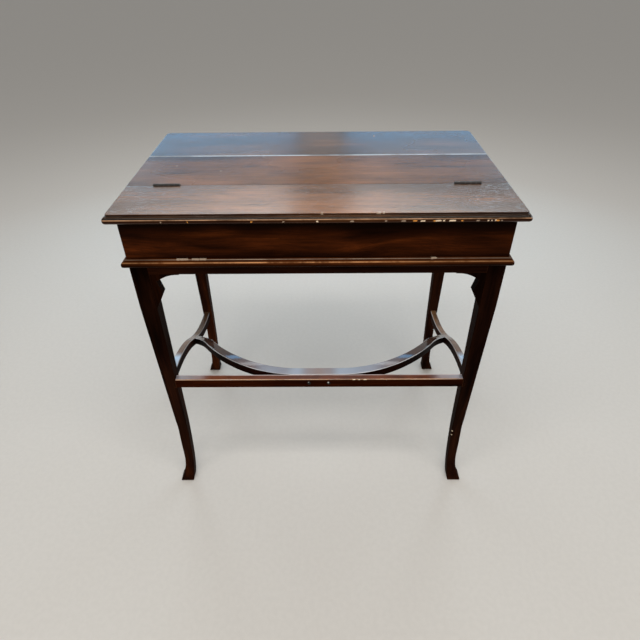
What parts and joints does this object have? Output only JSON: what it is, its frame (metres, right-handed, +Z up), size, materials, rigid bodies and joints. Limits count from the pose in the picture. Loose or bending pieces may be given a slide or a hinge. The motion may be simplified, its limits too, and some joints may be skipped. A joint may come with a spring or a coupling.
{
  "type": "campaign desk",
  "caption": "Small writing desk: a hinged lid over a shallow moulded case, on tapered legs with kicked feet, scrolled ear brackets, ogee side stretchers, a bow and a straight rail.",
  "frame": {"origin": "on the floor, under the middle of the desk", "axes": "+X along the desk, +Y towards the sitter, +Z up"},
  "size_m": [0.747, 0.466, 0.7637],
  "materials": {
    "top_mahogany": "dark red-brown stain under semi-gloss lacquer, worn to paler wood on the arrises",
    "case_mahogany": "dark red-brown stain under semi-gloss lacquer, worn to paler wood on the arrises",
    "frame_mahogany": "dark red-brown stain under semi-gloss lacquer, worn to paler wood on the arrises",
    "inner_wood": "bare, oiled",
    "hinge_iron": "blackened, rubbed bright on the edges",
    "screw_steel": "dull",
    "glide_nylon": "matte"
  },
  "bodies": {
    "frame": {"rear_top_board": "top_mahogany", "rear_wall": "case_mahogany", "front_wall": "case_mahogany", "left_wall": "case_mahogany", "right_wall": "case_mahogany", "rear_moulding": "case_mahogany", "front_moulding": "case_mahogany", "left_moulding": "case_mahogany", "right_moulding": "case_mahogany", "rear_left_leg": "frame_mahogany", "rear_right_leg": "frame_mahogany", "front_left_leg": "frame_mahogany", "front_right_leg": "frame_mahogany", "rear_apron": "frame_mahogany", "front_apron": "frame_mahogany", "left_apron": "frame_mahogany", "right_apron": "frame_mahogany", "rear_left_ear": "frame_mahogany", "rear_right_ear": "frame_mahogany", "front_left_ear": "frame_mahogany", "front_right_ear": "frame_mahogany", "left_rear_ear": "frame_mahogany", "left_front_ear": "frame_mahogany", "right_rear_ear": "frame_mahogany", "right_front_ear": "frame_mahogany", "stretcher_rail": "frame_mahogany", "left_stretcher": "frame_mahogany", "right_stretcher": "frame_mahogany", "bow_stretcher": "frame_mahogany", "case_bottom": "inner_wood", "hinge_rail": "inner_wood", "left_hinge_fixed_leaf": "hinge_iron", "right_hinge_fixed_leaf": "hinge_iron", "left_hinge_pin": "hinge_iron", "right_hinge_pin": "hinge_iron", "stretcher_bolts": "hinge_iron", "apron_screws": "screw_steel", "strip_screws": "screw_steel", "hinge_fixed_screws": "screw_steel", "foot_glides": "glide_nylon"},
    "lid": {"lid_middle_board": "top_mahogany", "lid_front_board": "top_mahogany", "left_batten": "inner_wood", "right_batten": "inner_wood", "batten_screws": "screw_steel", "left_hinge_lid_leaf": "hinge_iron", "right_hinge_lid_leaf": "hinge_iron", "hinge_lid_screws": "screw_steel"}
  },
  "joints": [
    {"name": "lid_hinge", "type": "hinge", "parent": "frame", "child": "lid", "pos_m": [0, -0.1, 0.76075], "axis": [1, 0, 0], "range_deg": [0, 180]}
  ]
}
